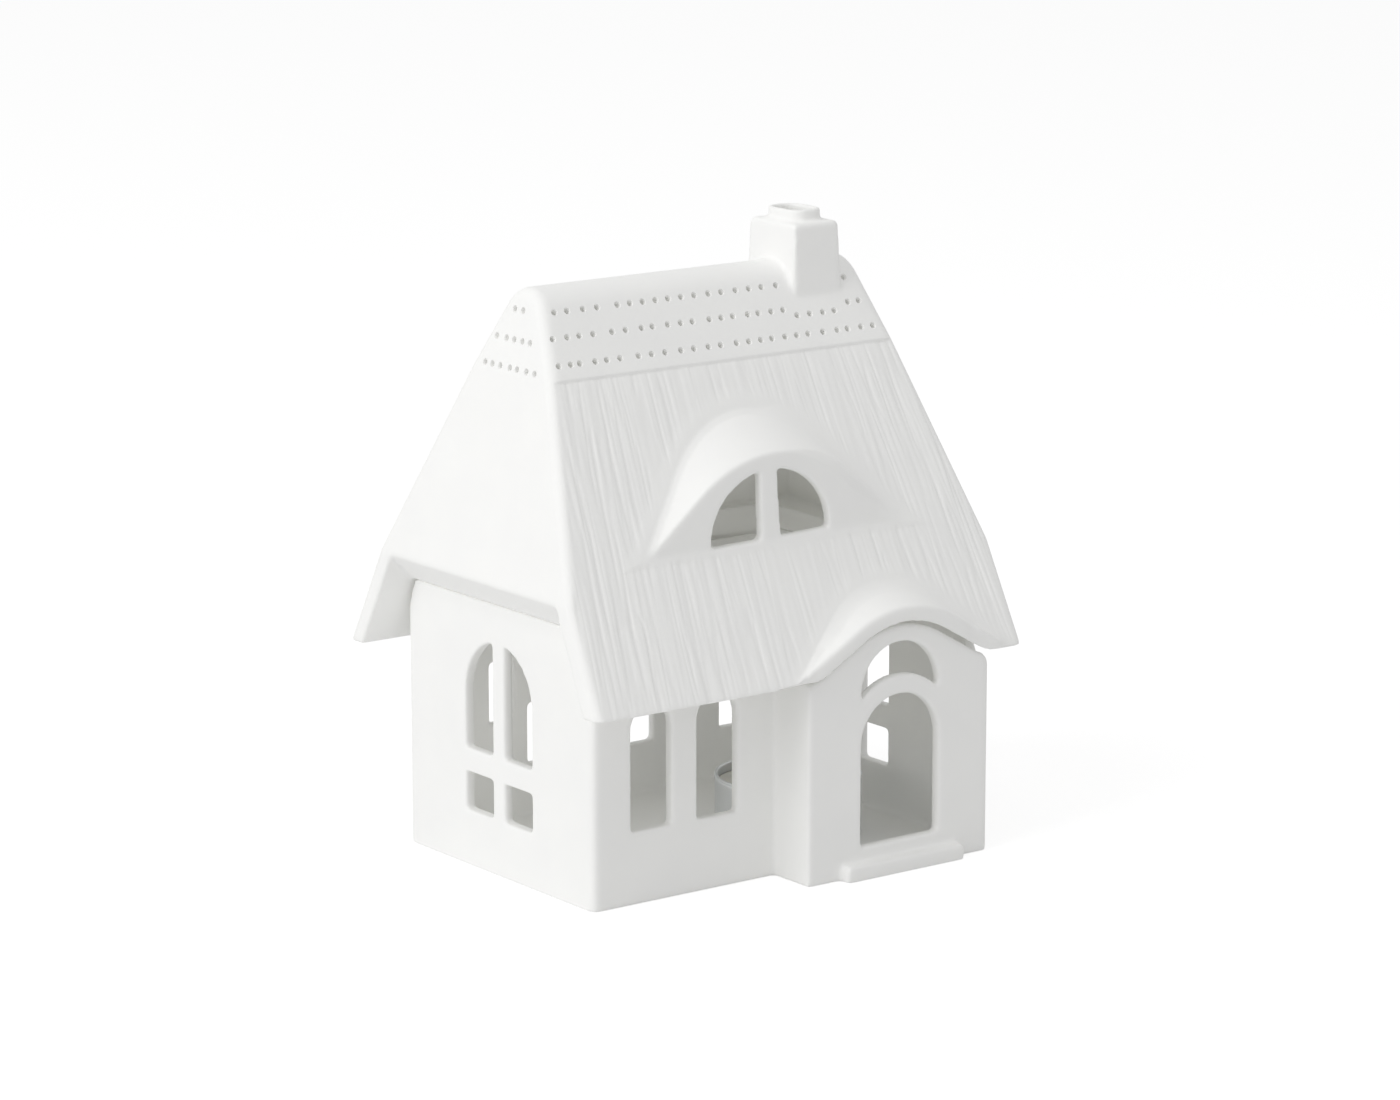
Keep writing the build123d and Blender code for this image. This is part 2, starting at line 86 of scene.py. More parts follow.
PRICK_RADIUS = 0.7
# The tealight's foot, the radius and height of its cup, and the level of its wax
TEALIGHT_FOOT = (22.0, -13.875, 2.0)
CUP_RADIUS = 19.0
CUP_HEIGHT = 16.0
WAX_LEVEL = 13.2
# Strokes start up to this far from the middle of a slope
STROKE_REACH = 66
# The studio, in metres: how far the floor reaches from the house, then each lamp's place, the point
# that it faces and its width and height, and the place and size of the glow in the room
FLOOR_REACH = 6.0
KEY_LAMP = ((-2.3, 0.0, 1.43), (0, 0, 0.07), (1.6, 2.6))
TOP_LAMP = ((0.0, -0.2, 0.8), (0, -0.02, 0.1), (0.6, 0.6))
GLOW_PLACE = (-0.03, 0.012, 0.03)
GLOW_RADIUS = 0.015


def linear(value):
    """An sRGB hex colour as linear RGBA."""
    parts = [int(value[place:place + 2], 16) / 255 for place in (1, 3, 5)]
    return tuple(p / 12.92 if p <= 0.04045 else ((p + 0.055) / 1.055) ** 2.4 for p in parts) + (1.0,)


def add_node(tree, kind, settings=(), inputs=(), links=()):
    """Adds a node, sets its properties and input values, and links sources to its inputs."""
    node = tree.nodes.new(kind)
    for key, value in dict(settings).items():
        setattr(node, key, value)
    for key, value in dict(inputs).items():
        node.inputs[key].default_value = value
    for key, source in dict(links).items():
        tree.links.new(source, node.inputs[key])
    return node


def new_material(name, base, roughness, inputs=()):
    """A material with one Principled shader, and that shader."""
    material = bpy.data.materials.new(name)
    material.use_nodes = True
    tree = material.node_tree
    tree.nodes.clear()
    values = {"Base Color": linear(base), "Roughness": roughness}
    values.update(dict(inputs))
    shader = add_node(tree, "ShaderNodeBsdfPrincipled", inputs=values)
    add_node(tree, "ShaderNodeOutputMaterial", links={"Surface": shader.outputs["BSDF"]})
    return material, tree, shader


def per_metre(size_mm):
    """Scale of a noise texture whose features are size_mm across, in an object measured in metres."""
    return 1 / (size_mm * MM)


def bisque_porcelain(name, colour, grain_mm):
    """Slip-cast porcelain, fired and left unglazed."""
    # Bisque is matt, with a very fine sugary grain and faint clouding from the mould and the kiln.
    material, tree, shader = new_material(name, colour, 0.62, {"Specular IOR Level": 0.35, "IOR": 1.5})
    place = add_node(tree, "ShaderNodeTexCoord").outputs["Object"]
    # The clouding is about 14 mm across and changes the white by one or two parts in a hundred.
    cloud = add_node(
        tree, "ShaderNodeTexNoise",
        inputs={"Scale": per_metre(14), "Detail": 3.0, "Roughness": 0.5}, links={"Vector": place},
    )
    tint = add_node(
        tree, "ShaderNodeMix", settings={"data_type": "RGBA"},
        inputs={"A": linear(colour), "B": linear("#f3f3f2")}, links={"Factor": cloud.outputs["Fac"]},
    )
    tree.links.new(tint.outputs["Result"], shader.inputs["Base Color"])
    # The real grit is under 0.1 mm; it is drawn at grain_mm so that it shows.
    grain = add_node(
        tree, "ShaderNodeTexNoise",
        inputs={"Scale": per_metre(grain_mm), "Detail": 2.0, "Roughness": 0.6}, links={"Vector": place},
    )
    bump = add_node(
        tree, "ShaderNodeBump", inputs={"Strength": 0.12, "Distance": 0.05 * MM},
        links={"Height": grain.outputs["Fac"]},
    )
    tree.links.new(bump.outputs["Normal"], shader.inputs["Normal"])
    return material


def pressed_aluminium(name):
    """Thin aluminium sheet drawn into a cup."""
    # Drawing leaves fine streaks round the cup, which stretch its highlights. A wave's bands lie a
    # third of the given size apart, here 3 mm, which is coarser than real streaks so that they show.
    material, tree, shader = new_material(name, "#e2e4e6", 0.42, {"Metallic": 1.0})
    place = add_node(tree, "ShaderNodeTexCoord").outputs["Object"]
    streaks = add_node(
        tree, "ShaderNodeTexWave", settings={"bands_direction": "Z"},
        inputs={"Scale": per_metre(9), "Distortion": 1.5, "Detail": 3.0}, links={"Vector": place},
    )
    bump = add_node(
        tree, "ShaderNodeBump", inputs={"Strength": 0.15, "Distance": 0.05 * MM},
        links={"Height": streaks.outputs["Fac"]},
    )
    tree.links.new(bump.outputs["Normal"], shader.inputs["Normal"])
    return material


def paraffin_wax(name):
    """Paraffin wax, poured into the cup and set."""
    # Light goes a little way into wax, so it looks milky and soft, with a slight sheen.
    material, tree, shader = new_material(
        name, "#f3f1ea", 0.42,
        {"Subsurface Weight": 0.25, "Subsurface Radius": (1.0, 0.8, 0.6), "Subsurface Scale": 1.5 * MM},
    )
    place = add_node(tree, "ShaderNodeTexCoord").outputs["Object"]
    ripple = add_node(
        tree, "ShaderNodeTexNoise", inputs={"Scale": per_metre(5), "Detail": 2.0}, links={"Vector": place},
    )
    bump = add_node(
        tree, "ShaderNodeBump", inputs={"Strength": 0.2, "Distance": 0.1 * MM},
        links={"Height": ripple.outputs["Fac"]},
    )
    tree.links.new(bump.outputs["Normal"], shader.inputs["Normal"])
    return material


def tinned_steel(name):
    """Thin tinned steel sheet, stamped into a disc with a neck."""
    # Tin over steel is grey and satin, with a fine mottle.
    material, tree, shader = new_material(name, "#b4b4b2", 0.4, {"Metallic": 1.0})
    place = add_node(tree, "ShaderNodeTexCoord").outputs["Object"]
    mottle = add_node(tree, "ShaderNodeTexNoise", inputs={"Scale": per_metre(0.8)}, links={"Vector": place})
    bump = add_node(
        tree, "ShaderNodeBump", inputs={"Strength": 0.1, "Distance": 0.05 * MM},
        links={"Height": mottle.outputs["Fac"]},
    )
    tree.links.new(bump.outputs["Normal"], shader.inputs["Normal"])
    return material


def waxed_cotton(name):
    """Cotton strands twisted together and dipped in wax."""
    # Wax dulls the fuzz. The fibres' marks come every 4 mm up the wick, coarser than real ones so that
    # they show.
    material, tree, shader = new_material(name, "#e9e4d6", 0.7)
    place = add_node(tree, "ShaderNodeTexCoord").outputs["Object"]
    fibres = add_node(
        tree, "ShaderNodeTexWave", settings={"bands_direction": "DIAGONAL"},
        inputs={"Scale": per_metre(6), "Distortion": 2.0, "Detail": 2.0}, links={"Vector": place},
    )
    bump = add_node(
        tree, "ShaderNodeBump", inputs={"Strength": 0.6, "Distance": 0.15 * MM},
        links={"Height": fibres.outputs["Fac"]},
    )
    tree.links.new(bump.outputs["Normal"], shader.inputs["Normal"])
    return material


def smooth_piece(piece, angle=50):
    """Shades the piece smoothly except across edges sharper than angle degrees."""
    piece.data.polygons.foreach_set("use_smooth", [True] * len(piece.data.polygons))
    piece.data.set_sharp_from_angle(angle=math.radians(angle))


def set_material(piece, material):
    """Gives the whole piece one material."""
    piece.data.materials.clear()
    piece.data.materials.append(material)
    for polygon in piece.data.polygons:
        polygon.material_index = 0


def casting_copy(node, name, voxel_mm, holes=()):
    """A new object with the node's shape, its holes closed, remeshed into faces about voxel_mm wide."""
    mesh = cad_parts[node].data.copy()
    sharp = bmesh.new()
    sharp.from_mesh(mesh)
    bmesh.ops.remove_doubles(sharp, verts=sharp.verts, dist=0.001 * MM)
    close_holes(sharp, holes)
    sharp.to_mesh(mesh)
    sharp.free()
    piece = bpy.data.objects.new(name, mesh)
    bpy.context.collection.objects.link(piece)
    remesh = piece.modifiers.new("Even faces", "REMESH")
    remesh.mode = "VOXEL"
    remesh.voxel_size = voxel_mm * MM
    remesh.use_smooth_shade = True
    shaped = bpy.data.meshes.new_from_object(piece.evaluated_get(bpy.context.evaluated_depsgraph_get()))
    piece.modifiers.clear()
    piece.data = shaped
    return piece


def close_holes(shape, holes):
    """Takes the walls of the pricked holes away and covers the openings they leave."""
    shape.verts.ensure_lookup_table()
    points = np.array([vert.co for vert in shape.verts]) / MM
    owner = np.full(len(points), -1)
    for number, (mouth, outward) in enumerate(holes):
        away = points - mouth
        along = away @ outward
        radial = np.linalg.norm(away - along[:, None] * outward, axis=1)
        owner[(radial < 1.1 * PRICK_RADIUS) & (np.abs(along) < 5)] = number
    walls = []
    for face in shape.faces:
        owners = {owner[vert.index] for vert in face.verts}
        if len(owners) == 1 and owners != {-1}:
            walls.append(face)
    if walls:
        bmesh.ops.delete(shape, geom=walls, context="FACES")
        rims = [edge for edge in shape.edges if edge.is_boundary]
        bmesh.ops.holes_fill(shape, edges=rims, sides=0)


def read_points(mesh):
    """The mesh's points in millimetres."""
    points = np.empty(len(mesh.vertices) * 3, dtype=np.float32)
    mesh.vertices.foreach_get("co", points)
    return points.reshape(-1, 3).astype(np.float64) / MM


def write_points(mesh, points):
    """Moves the mesh's points, given in millimetres."""
    mesh.vertices.foreach_set("co", (points * MM).astype(np.float32).ravel())
    mesh.update()


def read_normals(mesh):
    """The direction of the surface at each point."""
    normals = np.empty(len(mesh.vertices) * 3, dtype=np.float32)
    mesh.vertex_normals.foreach_get("vector", normals)
    return normals.reshape(-1, 3).astype(np.float64)


def read_edges(mesh):
    """The two ends of each edge."""
    edges = np.empty(len(mesh.edges) * 2, dtype=np.int32)
    mesh.edges.foreach_get("vertices", edges)
    return edges.reshape(-1, 2)


def soften(mesh, points, rounds, weight):
    """Draws each point towards its neighbours, as a sponge rounds the edges of dry clay."""
    return relax(points, read_edges(mesh), rounds, weight)


def relax(points, edges, rounds, weight):
    """Moves points towards the middle of their neighbours along the edges, weight of the way."""
    first, second = edges.T
    count = len(points)
    share = np.bincount(first, minlength=count) + np.bincount(second, minlength=count)
    share = 1 / np.maximum(share, 1)
    for _ in range(rounds):
        for axis in range(3):
            value = points[:, axis]
            total = np.bincount(first, value[second], count) + np.bincount(second, value[first], count)
            points[:, axis] = value + weight * (total * share - value)
    return points


def smooth_step(value, low, high):
    """0 below low, 1 above high and a smooth rise between."""
    share = np.clip((value - low) / (high - low), 0, 1)
    return share * share * (3 - 2 * share)


def slope_axes(side):
    """Foot, outward direction and downward direction of the front (-1) or rear (1) slope."""
    foot = np.array((0, RIDGE_Y + side * (RIDGE_Y - EAVE_FRONT_Y), EAVE_HEIGHT))
    outward = np.array((0, side * math.sin(ROOF_PITCH), math.cos(ROOF_PITCH)))
    downward = np.array((0, side * math.cos(ROOF_PITCH), -math.sin(ROOF_PITCH)))
    return foot, outward, downward


def hood_distance(points, hood):
    """How far points lie outside a hood, measured square to its arched outline."""
    middle, foot, half_span, top, radius, front_y, pitch = hood
    rise = top - radius - foot
    touch = math.acos(radius / math.hypot(half_span, rise)) - math.atan2(rise, half_span)
    across = np.abs(points[:, 0] - middle)
    up = points[:, 2] - (points[:, 1] - front_y) * math.tan(pitch) - (top - radius)
    over_crown = np.arctan2(up, across) > touch
    return np.where(
        over_crown, np.hypot(across, up) - radius,
        across * math.cos(touch) + up * math.sin(touch) - radius,
    )


def slope_half_length(height):
    """Half the length of the slopes at a height, between the hips' or the verges' edges."""
    over_lip = HIP_LIP_X - (height - HIP_LIP_HEIGHT) / math.tan(HIP_PITCH)
    under_lip = HIP_LIP_X + (HIP_LIP_HEIGHT - height) * math.tan(VERGE_DRAFT)
    return np.where(height > HIP_LIP_HEIGHT, over_lip, under_lip)


def melt_hood(mesh, points, hood, seam_reach, lip_reach, rounds=120):
    """Softens a hood's crease with the front slope and the lip over its face, left to right."""
    foot, outward, _ = slope_axes(-1)
    middle, hood_foot, half_span, _, _, front_y, _ = hood
    over_slope, over_hood = (points - foot) @ outward, hood_distance(points, hood)
    ahead = front_y - points[:, 1]
    on_skin = np.abs(np.maximum(np.minimum(over_slope, over_hood), ahead)) < 0.8
    # The reaches change from the first to the second across the right of the hood
    turn = smooth_step(points[:, 0] - middle, 0.1 * half_span, 0.6 * half_span)
    seam = np.hypot(over_slope, over_hood) / (seam_reach[0] + (seam_reach[1] - seam_reach[0]) * turn)
    lip = np.hypot(ahead, over_hood) / (lip_reach[0] + (lip_reach[1] - lip_reach[0]) * turn)
    near = smooth_step(1 - np.minimum(seam, lip), 0, 0.6)
    clear = smooth_step(points[:, 2] - hood_foot, 0, 3) * smooth_step(over_slope, -1.5, -0.5)
    amount = 0.5 * near * on_skin * clear * (points[:, 1] < RIDGE_Y)
    edges = read_edges(mesh)
    edges = edges[(amount[edges] > 0).any(axis=1)]
    used, local = np.unique(edges, return_inverse=True)
    points[used] = relax(points[used], local.reshape(-1, 2), rounds, amount[used])
    return points


def thatch_cover(points, normals, side, reach):
    """How much of the combed thatch each point carries, from 0 to 1."""
    foot, outward, _ = slope_axes(side)
    over_slope = (points - foot) @ outward
    cover = (np.abs(over_slope) < 1.0) * smooth_step(normals @ outward, 0.6, 0.9)
    edge = slope_half_length(points[:, 2]) - np.abs(points[:, 0])
    cover = cover * smooth_step(edge, 0.8, 3.0) * smooth_step(BAND_HEIGHT - points[:, 2], 0, 0.35)
    if side < 0:
        for hood in (ARCH_HOOD, DORMER_HOOD):
            beside = smooth_step(hood_distance(points, hood), 0.3 * reach, reach)
            ahead = smooth_step(hood[5] - points[:, 1], 0.2, 1.2)
            cover = cover * np.maximum(beside, ahead)
    return cover


def comb_thatch(points, normals, side, strokes, depth, chance):
    """Draws strokes down a slope and sinks the thatch a little under the ridge band."""
    foot, outward, downward = slope_axes(side)
    cover = thatch_cover(points, normals, side, 5.0)
    chosen = np.nonzero(cover > 0.01)[0]
    x = points[chosen, 0]
    down = (BAND_HEIGHT - points[chosen, 2]) / math.sin(ROOF_PITCH)
    length = (BAND_HEIGHT - EAVE_HEIGHT) / math.sin(ROOF_PITCH)
    sink = 0.18 + 0.3 * np.exp(-down / 1.6)
    order = np.argsort(x)
    x, down, chosen, sink = x[order], down[order], chosen[order], sink[order]
    relief = np.zeros(len(x))
    for _ in range(strokes):
        # Strokes lie closer towards the ends of the slope and lean outwards with its sides
        place = chance.uniform(-1, 1)
        place = math.copysign(abs(place) ** 0.8, place) * STROKE_REACH
        lean = math.tan(math.radians(chance.gauss(0.11 * place, 1.6)))
        start = chance.uniform(-20, length - 6)
        extent = chance.uniform(14, 60)
        width = chance.uniform(0.28, 0.75) if chance.random() < 0.75 else chance.uniform(0.75, 1.3)
        bow = chance.gauss(0, 0.5)
        strength = depth * chance.uniform(0.2, 0.75) * (0.55 + 0.45 * abs(place) / STROKE_REACH)
        # Some strokes stand up as ridges and a few are dug deeper
        kind = chance.random()
        if kind < 0.3:
            strength = -0.5 * strength
        elif kind < 0.38:
            strength = 1.8 * strength
        top_x = place - lean * (length / 2 - start)
        sway = abs(lean) * extent + abs(bow) + 3 * width
        first, last = np.searchsorted(x, (top_x - sway, top_x + sway))
        run = (down[first:last] - start) / extent
        middle = top_x + lean * extent * run + bow * run * (1 - run) * 4
        beside = (x[first:last] - middle) / width
        taper = smooth_step(run, 0, 0.18) * smooth_step(1 - run, 0, 0.3)
        relief[first:last] += strength * taper * np.exp(-beside * beside)
    ripple = np.sin(x * 1.9 + 0.6 * np.sin(down * 0.11)) * np.sin(x * 0.73 + down * 0.02)
    amount = (sink + np.clip(relief, -0.15, 2.2 * depth) + 0.03 * ripple) * cover[chosen]
    points[chosen] -= amount[:, None] * outward
    return points


def prick_axes():
    """Mouth and outward direction of every pricked hole."""
    axes = []
    lean_out = np.array((0, -math.cos(BAND_LEAN), math.sin(BAND_LEAN)))
    lean_up = np.array((0, math.sin(BAND_LEAN), math.cos(BAND_LEAN)))
    for height, places in BAND_PRICKS:
        for place in places:
            mouth = np.array((place, -BAND_REACH, BAND_HEIGHT))
            mouth = mouth + lean_up * (height - BAND_HEIGHT) / math.cos(BAND_LEAN)
            for flip in (np.array((1, 1, 1)), np.array((1, -1, 1))):
                axes.append((mouth * flip + np.array((0, RIDGE_Y, 0)), lean_out * flip))
    hip_out = np.array((-math.sin(HIP_PITCH), 0, math.cos(HIP_PITCH)))
    hip_up = np.array((math.cos(HIP_PITCH), 0, math.sin(HIP_PITCH)))
    for height, places in HIP_PRICKS:
        for place in places:
            mouth = np.array((-HIP_LIP_X, RIDGE_Y - place, HIP_LIP_HEIGHT))
            mouth = mouth + hip_up * (height - HIP_LIP_HEIGHT) / math.sin(HIP_PITCH)
            for flip in (np.array((1, 1, 1)), np.array((-1, 1, 1))):
                axes.append((mouth * flip, hip_out * flip))
    return axes


def prick_tool(axes, sides=12):
    """One object holding a needle for each pricked hole, flared where it enters the clay."""
    profile = ((1.2, 1.6), (0.05, 1.35), (-0.3, 1.08), (-4.4, 1.08))
    points, faces = [], []
    for mouth, outward in axes:
        across = np.cross(outward, (1.0, 0, 0) if abs(outward[0]) < 0.5 else (0, 1.0, 0))
        across = across / np.linalg.norm(across)
        aside = np.cross(outward, across)
        base = len(points)
        for along, share in profile:
            for step in range(sides):
                turn = 2 * math.pi * step / sides
                ray = across * math.cos(turn) + aside * math.sin(turn)
                points.append(mouth + outward * along + ray * share * PRICK_RADIUS)
        for ring in range(len(profile) - 1):
            for step in range(sides):
                corner = base + ring * sides + step
                after = base + ring * sides + (step + 1) % sides
                faces.append((corner, corner + sides, after + sides, after))
        faces.append(tuple(base + step for step in range(sides)))
        faces.append(tuple(base + (len(profile) - 1) * sides + step for step in reversed(range(sides))))
    return new_piece("needles", points, faces)


def cut_away(piece, tool):
    """Cuts the tool out of the piece and clears the tool away."""
    cut = piece.modifiers.new("Cut", "BOOLEAN")
    cut.operation = "DIFFERENCE"
    cut.solver = "MANIFOLD"
    cut.object = tool
    before = len(piece.data.polygons)
    shaped = bpy.data.meshes.new_from_object(piece.evaluated_get(bpy.context.evaluated_depsgraph_get()))
    piece.modifiers.clear()
    piece.data = shaped
    bpy.data.objects.remove(tool)
    if len(shaped.polygons) <= before:
        raise RuntimeError("The holes weren't cut")


def refine_slopes(mesh):
    """Halves the faces of the two combed slopes, so that fine strokes can be drawn on them."""
    points, normals = read_points(mesh), read_normals(mesh)
    cover = thatch_cover(points, normals, -1, 3.0) + thatch_cover(points, normals, 1, 3.0)
    wanted = cover > 0.02
    shape = bmesh.new()
    shape.from_mesh(mesh)
    shape.verts.ensure_lookup_table()
    edges = [edge for edge in shape.edges if wanted[edge.verts[0].index] and wanted[edge.verts[1].index]]
    bmesh.ops.subdivide_edges(shape, edges=edges, cuts=1, use_grid_fill=True)
    shape.to_mesh(mesh)
    shape.free()
    mesh.update()


def new_piece(name, points, faces):
    """An object from points in millimetres, all its faces turned outwards."""
    mesh = bpy.data.meshes.new(name)
    mesh.from_pydata([tuple(value * MM for value in point) for point in points], [], faces)
    shape = bmesh.new()
    shape.from_mesh(mesh)
    bmesh.ops.recalc_face_normals(shape, faces=shape.faces)
    shape.to_mesh(mesh)
    shape.free()
    piece = bpy.data.objects.new(name, mesh)
    bpy.context.collection.objects.link(piece)
    return piece


def cup_profile():
    """The cup's section: a raised base, a thin wall and a rim rolled outwards."""
    outer = CUP_RADIUS - 0.15
    roll = 0.45
    section = [(0, 0.3), (11.4, 0.3), (11.9, 0.2), (12.3, 0.0), (17.7, 0.0), (18.3, 0.15), (18.7, 0.6)]
    section += [(outer, height) for height in (1.2, 3, 5, 7, 9, 11, 13, 14.4, 14.9)]
    for step in range(-3, 10):
        turn = math.radians(step * 22.5)
        section.append((
            CUP_RADIUS - roll + roll * math.cos(turn), CUP_HEIGHT - roll + roll * math.sin(turn)
        ))
    section += [(outer - 0.2, 14.8), (outer - 0.2, 7), (outer - 0.2, 1.2), (18.3, 0.4), (17.7, 0.3)]
    return section + [(12.4, 0.3), (11.6, 0.45), (0, 0.45)]


def wax_profile():
    """The wax's section: it climbs the cup and the wick, and has sunk a little between as it set."""
    edge = CUP_RADIUS - 0.5
    top = []
    for step in range(24):
        radius = edge - (edge - 0.85) * step / 23
        climb = 0.55 * math.exp(-(edge - radius) / 0.8) + 0.5 * math.exp(-(radius - 0.85) / 0.9)
        top.append((radius, WAX_LEVEL - 0.6 + climb - 0.25 * math.exp(-((radius - 5) / 4) ** 2)))
    pocket = [(0.85, 4.5), (1.7, 4.5), (1.7, 0.8), (6.1, 0.8), (6.1, 0.5)]
    return top + pocket + [(edge - 0.3, 0.5), (edge, 0.8)]


def turn_profile(name, profile, sides, flutes=0):
    """A piece turned about the tealight's axis, with shallow upright flutes in its side if asked."""
    closed = profile[0][0] > 0
    points, faces = [], []
    for radius, height in profile:
        depth = 0.07 * min(1, max(0, 1 - abs(height - 6.5) / 8.5)) if flutes and radius > 18.6 else 0
        for step in range(sides):
            turn = 2 * math.pi * step / sides
            ray = radius - depth * (1 + math.cos(flutes * turn))
            points.append((ray * math.cos(turn), ray * math.sin(turn), height))
    points = [tuple(a + b for a, b in zip(point, TEALIGHT_FOOT)) for point in points]
    rings = len(profile)
    for ring in range(rings if closed else rings - 1):
        for step in range(sides):
            after = (step + 1) % sides
            below, above = ring * sides, (ring + 1) % rings * sides
            faces.append((below + step, below + after, above + after, above + step))
    piece = new_piece(name, points, faces)
    shape = bmesh.new()
    shape.from_mesh(piece.data)
    bmesh.ops.remove_doubles(shape, verts=shape.verts, dist=0.0005 * MM)
    bmesh.ops.recalc_face_normals(shape, faces=shape.faces)
    shape.to_mesh(piece.data)
    shape.free()
    return piece


def twist_wick(name):
    """Three strands of cotton laid round each other from the tab to the wick's tip."""
    foot, tip, lay, strand, offset, sides, rings = 0.7, 21.0, 5.0, 0.37, 0.37, 10, 90
    points, faces = [], []
    for number in range(3):
        base = len(points)
        for ring in range(rings + 1):
            height = foot + (tip - foot) * ring / rings
            turn = 2 * math.pi * (height / lay + number / 3)
            thick = strand * (1 - 0.25 * smooth_step(height, tip - 1.2, tip))
            for step in range(sides):
                around = 2 * math.pi * step / sides + turn
                points.append((
                    TEALIGHT_FOOT[0] + offset * math.cos(turn) + thick * math.cos(around),
                    TEALIGHT_FOOT[1] + offset * math.sin(turn) + thick * math.sin(around),
                    TEALIGHT_FOOT[2] + height,
                ))
        for ring in range(rings):
            for step in range(sides):
                corner, after = base + ring * sides + step, base + ring * sides + (step + 1) % sides
                faces.append((corner, after, after + sides, corner + sides))
        faces.append(tuple(base + step for step in reversed(range(sides))))
        faces.append(tuple(base + rings * sides + step for step in range(sides)))
    return new_piece(name, points, faces)


class HouseSettings(PropertyGroup):
    """Sizes and colour of the two porcelain castings."""

    colour: StringProperty(name="Porcelain", description="sRGB colour of the bisque", default="#f8f8f6")
    voxel: FloatProperty(
        name="Face size", description="Size of the castings' faces in millimetres", default=0.5, min=0.2
    )
    grain: FloatProperty(name="Grain", description="Size of the drawn grit in millimetres", default=0.5)
    sponge_rounds: IntProperty(
        name="Sponging", description="How far the edges are rounded, in rounds of softening", default=5
    )
    stroke_count: IntProperty(
        name="Thatch strokes", description="Strokes combed into each slope", default=560, min=0
    )
    stroke_depth: FloatProperty(
        name="Stroke depth",
        description="Measure of stroke depth in millimetres, of which crossing strokes dig up to 2.2",
        default=0.19,
    )
    hood_blend: FloatProperty(
        name="Hood blend", description="Reach of the soft hollow beside the hoods in millimetres",
        default=6.0,
    )
    seed: IntProperty(name="Seed", description="Starts the row of chances that places strokes", default=7)


class StageSettings(PropertyGroup):
    """Camera and light."""

    azimuth: FloatProperty(
        name="Azimuth", description="Direction of the view", default=math.radians(-36.78), subtype="ANGLE"
    )
    elevation: FloatProperty(
        name="Elevation", description="Height of the view", default=math.radians(12.45), subtype="ANGLE"
    )
    distance: FloatProperty(
        name="Distance", description="From the camera to its target", default=1.2419, unit="LENGTH"
    )
    lens: FloatProperty(
        name="Lens", description="Focal length on a 36 mm sensor, in millimetres", default=125.448
    )
    target: FloatVectorProperty(
        name="Target", description="Where the camera looks", default=(0.00463, 0.00063, 0.07602),
        subtype="TRANSLATION",
    )
    key_power: FloatProperty(
        name="Key light", description="Power of the soft light", default=31.2, unit="POWER"
    )
    top_power: FloatProperty(
        name="Top light", description="Power of the lamp above", default=0.76, unit="POWER"
    )
    fill_level: FloatProperty(name="Fill", description="Level of the light all round", default=0.56)
    glow_power: FloatProperty(
        name="Glow", description="Power of the light let through the walls", default=0.0045, unit="POWER"
    )


class TEALIGHTHOUSE_OT_body(Operator):
    """Makes the house's softened casting"""

    bl_idname = "tealighthouse.body"
    bl_label = "House Walls"

    def execute(self, context):
        settings = context.scene.tealight_house
        piece = casting_copy("house", "house_casting", settings.voxel)
        points = read_points(piece.data)
        points = soften(piece.data, points, settings.sponge_rounds, 0.5)
        points[:, 2] = np.maximum(points[:, 2], 0)
        write_points(piece.data, points)
        set_material(piece, bisque_porcelain("Bisque porcelain walls", settings.colour, settings.grain))
        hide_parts("house")
        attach(piece, "house_body")
        return {"FINISHED"}


class TEALIGHTHOUSE_OT_roof(Operator):
    """Makes the roof's softened casting with its combed thatch"""

    bl_idname = "tealighthouse.roof"
    bl_label = "Roof"

    def execute(self, context):
        settings = context.scene.tealight_house
        holes = prick_axes()
        piece = casting_copy("roof", "roof_casting", settings.voxel, holes)
        points = soften(piece.data, read_points(piece.data), settings.sponge_rounds, 0.5)
        blend = settings.hood_blend
        points = melt_hood(piece.data, points, ARCH_HOOD, (0.3 * blend, 0.7 * blend), (0.1, 0.1))
        points = melt_hood(
            piece.data, points, DORMER_HOOD, (0.1 * blend, blend), (0.05 * blend, 0.5 * blend)
        )
        write_points(piece.data, points)
        refine_slopes(piece.data)
        points, normals = read_points(piece.data), read_normals(piece.data)
        chance = random.Random(settings.seed)
        for side in (-1, 1):
            points = comb_thatch(
                points, normals, side, settings.stroke_count, settings.stroke_depth, chance
            )
        write_points(piece.data, soften(piece.data, points, 1, 0.25))
        cut_away(piece, prick_tool(holes))
        smooth_piece(piece)
        set_material(piece, bisque_porcelain("Bisque porcelain roof", settings.colour, settings.grain))
        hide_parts("roof")
        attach(piece, "roof_body")
        return {"FINISHED"}


class TEALIGHTHOUSE_OT_tealight(Operator):
    """Makes the tealight's fluted cup, set wax and twisted wick"""

    bl_idname = "tealighthouse.tealight"
    bl_label = "Tealight"

    def execute(self, context):
        cup = turn_profile("drawn_cup", cup_profile(), 288, flutes=72)
        wax = turn_profile("set_wax", wax_profile(), 96)
        wick = twist_wick("twisted_wick")
        made = (
            (cup, "tealight_cup", "cup_aluminium", pressed_aluminium("Drawn aluminium")),
            (wax, "wax", "wax_white", paraffin_wax("Poured paraffin wax")),
            (wick, "wick", "wick_cotton", waxed_cotton("Waxed twisted cotton")),
        )
        for piece, node, slot, material in made:
            smooth_piece(piece)
            set_material(piece, material)
            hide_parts(node)
            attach(piece, "tealight")
        set_material(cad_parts["wick_tab"], tinned_steel("Tinned steel"))
        return {"FINISHED"}


